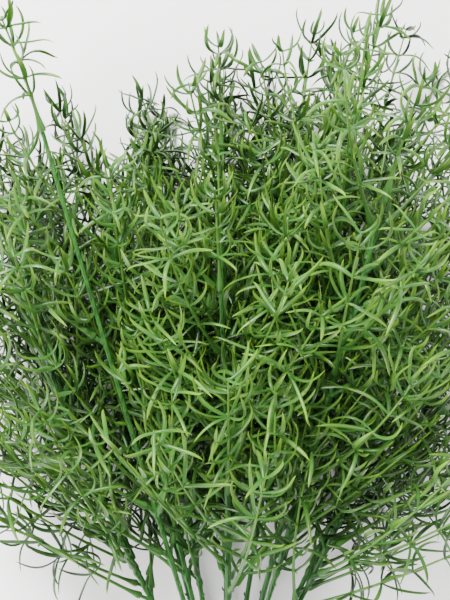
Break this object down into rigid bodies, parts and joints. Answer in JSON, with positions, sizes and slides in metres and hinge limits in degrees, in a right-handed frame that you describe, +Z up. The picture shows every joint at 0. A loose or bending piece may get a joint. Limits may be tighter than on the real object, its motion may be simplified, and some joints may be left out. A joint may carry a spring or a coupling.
{
  "type": "artificial asparagus fern bunch",
  "caption": "Loose fan-shaped bunch of moulded asparagus fern foliage: thin stems from one short stalk, with ribbed sprigs of narrow curved leaves, lying on its side.",
  "frame": {"origin": "centre of the underside of the bunch's box, on the surface it lies on", "axes": "+Z up from the surface, +Y along the bunch from the stalk to the tips, +X across it"},
  "size_m": [0.2988, 0.423, 0.1827],
  "materials": {
    "stem_plastic": "satin",
    "leaf_plastic": "satin"
  },
  "bodies": {
    "root": {"sprig_inner_1_side_1": "leaf_plastic", "sprig_inner_1_tip": "leaf_plastic", "sprig_inner_2_side_1": "leaf_plastic", "sprig_inner_2_tip": "leaf_plastic", "sprig_inner_3_side_1": "leaf_plastic", "sprig_inner_3_tip": "leaf_plastic", "sprig_inner_4_side_1": "leaf_plastic", "sprig_inner_4_tip": "leaf_plastic", "sprig_inner_5_side_1": "leaf_plastic", "sprig_inner_5_tip": "leaf_plastic", "sprig_middle_1_side_1": "leaf_plastic", "sprig_middle_1_tip": "leaf_plastic", "sprig_outer_10_side_1": "leaf_plastic", "sprig_outer_10_side_2": "leaf_plastic", "sprig_outer_10_tip": "leaf_plastic", "sprig_outer_1_side_1": "leaf_plastic", "sprig_outer_1_side_2": "leaf_plastic", "sprig_outer_1_tip": "leaf_plastic", "sprig_outer_2_side_1": "leaf_plastic", "sprig_outer_2_side_2": "leaf_plastic", "sprig_outer_2_tip": "leaf_plastic", "sprig_outer_3_side_1": "leaf_plastic", "sprig_outer_3_side_2": "leaf_plastic", "sprig_outer_3_tip": "leaf_plastic", "sprig_outer_4_side_1": "leaf_plastic", "sprig_outer_4_side_2": "leaf_plastic", "sprig_outer_4_tip": "leaf_plastic", "sprig_outer_5_side_1": "leaf_plastic", "sprig_outer_5_side_2": "leaf_plastic", "sprig_outer_5_tip": "leaf_plastic", "sprig_outer_6_side_1": "leaf_plastic", "sprig_outer_6_side_2": "leaf_plastic", "sprig_outer_6_tip": "leaf_plastic", "sprig_outer_7_side_1": "leaf_plastic", "sprig_outer_7_side_2": "leaf_plastic", "sprig_outer_7_tip": "leaf_plastic", "sprig_outer_8_side_1": "leaf_plastic", "sprig_outer_8_side_2": "leaf_plastic", "sprig_outer_8_tip": "leaf_plastic", "sprig_outer_9_side_1": "leaf_plastic", "sprig_outer_9_side_2": "leaf_plastic", "sprig_outer_9_tip": "leaf_plastic", "stalk": "stem_plastic", "stem_inner_1": "stem_plastic", "stem_inner_2": "stem_plastic", "stem_inner_3": "stem_plastic", "stem_inner_4": "stem_plastic", "stem_inner_5": "stem_plastic", "stem_middle_1": "stem_plastic", "stem_outer_1": "stem_plastic", "stem_outer_10": "stem_plastic", "stem_outer_2": "stem_plastic", "stem_outer_3": "stem_plastic", "stem_outer_4": "stem_plastic", "stem_outer_5": "stem_plastic", "stem_outer_6": "stem_plastic", "stem_outer_7": "stem_plastic", "stem_outer_8": "stem_plastic", "stem_outer_9": "stem_plastic"}
  },
  "joints": []
}
